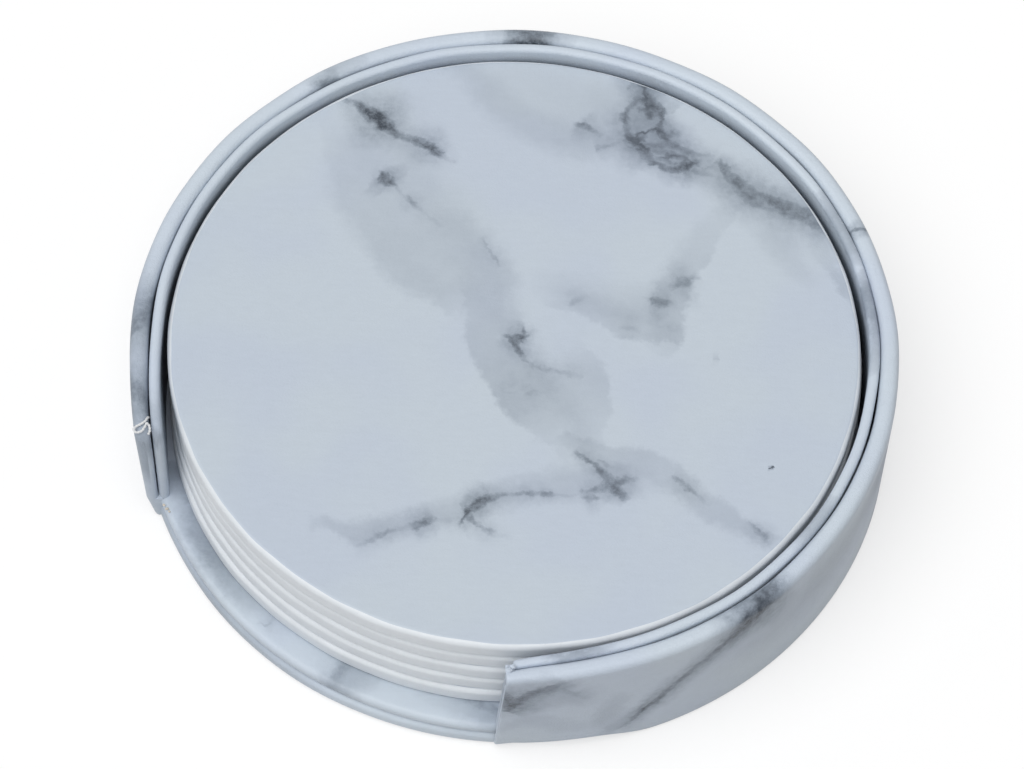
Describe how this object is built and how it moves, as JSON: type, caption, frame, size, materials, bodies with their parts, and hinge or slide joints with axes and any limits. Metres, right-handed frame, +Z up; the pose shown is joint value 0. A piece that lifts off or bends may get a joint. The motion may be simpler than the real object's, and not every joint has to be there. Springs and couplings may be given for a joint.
{
  "type": "coaster set in holder",
  "caption": "Round leatherette coasters with a marble print, stacked in a matching low round holder whose wall is open at the front for a finger.",
  "frame": {"origin": "centre of the underside of the holder's lower disc, on the table", "axes": "+Z up; the opening in the wall faces -X and -Y, between the left end at about 201 degrees and the front end at about 270.5 degrees from +X"},
  "size_m": [0.1104, 0.1107, 0.0218],
  "materials": {
    "print": "satin",
    "seal": "satin",
    "lining": "matte",
    "board": "matte",
    "glue": "matte"
  },
  "bodies": {
    "holder": {"base_cover": "lining", "base_board": "board", "glue_bed": "glue", "floor_board": "board", "floor_cover": "print", "inner_ply_board": "board", "inner_ply_cover": "print", "outer_ply_board": "board", "outer_ply_cover": "print"},
    "coaster_1": {"coaster_1_back": "lining", "coaster_1_core": "board", "coaster_1_face": "print", "coaster_1_edge": "seal"},
    "coaster_2": {"coaster_2_back": "lining", "coaster_2_core": "board", "coaster_2_face": "print", "coaster_2_edge": "seal"},
    "coaster_3": {"coaster_3_back": "lining", "coaster_3_core": "board", "coaster_3_face": "print", "coaster_3_edge": "seal"},
    "coaster_4": {"coaster_4_back": "lining", "coaster_4_core": "board", "coaster_4_face": "print", "coaster_4_edge": "seal"},
    "coaster_5": {"coaster_5_back": "lining", "coaster_5_core": "board", "coaster_5_face": "print", "coaster_5_edge": "seal"}
  },
  "joints": [
    {"name": "coaster_1_lift", "type": "slide", "parent": "holder", "child": "coaster_1", "axis": [0, 0, 1], "range_m": [0, 0.025]},
    {"name": "coaster_2_lift", "type": "slide", "parent": "coaster_1", "child": "coaster_2", "axis": [0, 0, 1], "range_m": [0, 0.025]},
    {"name": "coaster_3_lift", "type": "slide", "parent": "coaster_2", "child": "coaster_3", "axis": [0, 0, 1], "range_m": [0, 0.025]},
    {"name": "coaster_4_lift", "type": "slide", "parent": "coaster_3", "child": "coaster_4", "axis": [0, 0, 1], "range_m": [0, 0.025]},
    {"name": "coaster_5_lift", "type": "slide", "parent": "coaster_4", "child": "coaster_5", "axis": [0, 0, 1], "range_m": [0, 0.025]}
  ]
}
